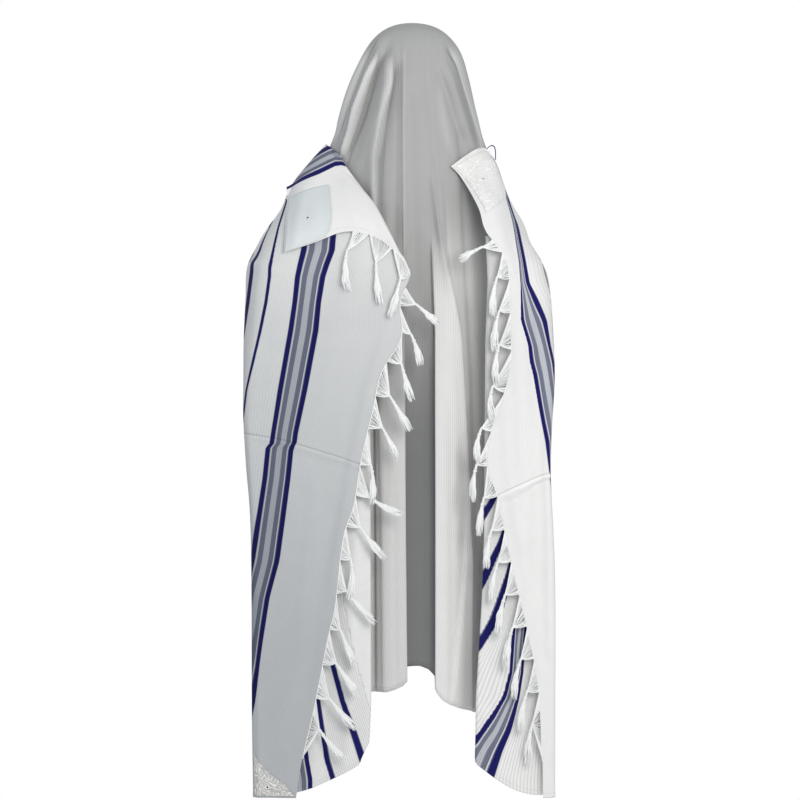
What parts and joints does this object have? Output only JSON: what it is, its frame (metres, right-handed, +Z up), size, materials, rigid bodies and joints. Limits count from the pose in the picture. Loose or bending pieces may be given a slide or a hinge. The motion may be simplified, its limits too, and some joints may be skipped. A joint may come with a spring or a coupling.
{
  "type": "prayer shawl",
  "caption": "Woollen prayer shawl with blue and grey stripes and knotted fringes, draped over a head with both ends thrown back.",
  "frame": {"origin": "the inside of the cloth at the crown of the wearer's head", "axes": "+Z up, the wearer faces -Y, +X is the wearer's left"},
  "size_m": [0.5932, 0.3183, 1.4729],
  "materials": {
    "wool": "matte",
    "striped_wool": "matte",
    "satin": "satin",
    "fringe_thread": "matte"
  },
  "bodies": {
    "root": {"hood_back": "wool", "shoulder_left": "wool", "shoulder_right": "wool", "under_left": "striped_wool", "under_right": "striped_wool", "end_left": "striped_wool", "end_right": "striped_wool", "flap_left": "striped_wool", "patch_left_top": "satin", "patch_left_low": "satin", "patch_right_top": "satin", "patch_right_low": "satin", "fringe_left": "fringe_thread", "fringe_left_flap": "fringe_thread", "fringe_right": "fringe_thread"}
  },
  "joints": []
}
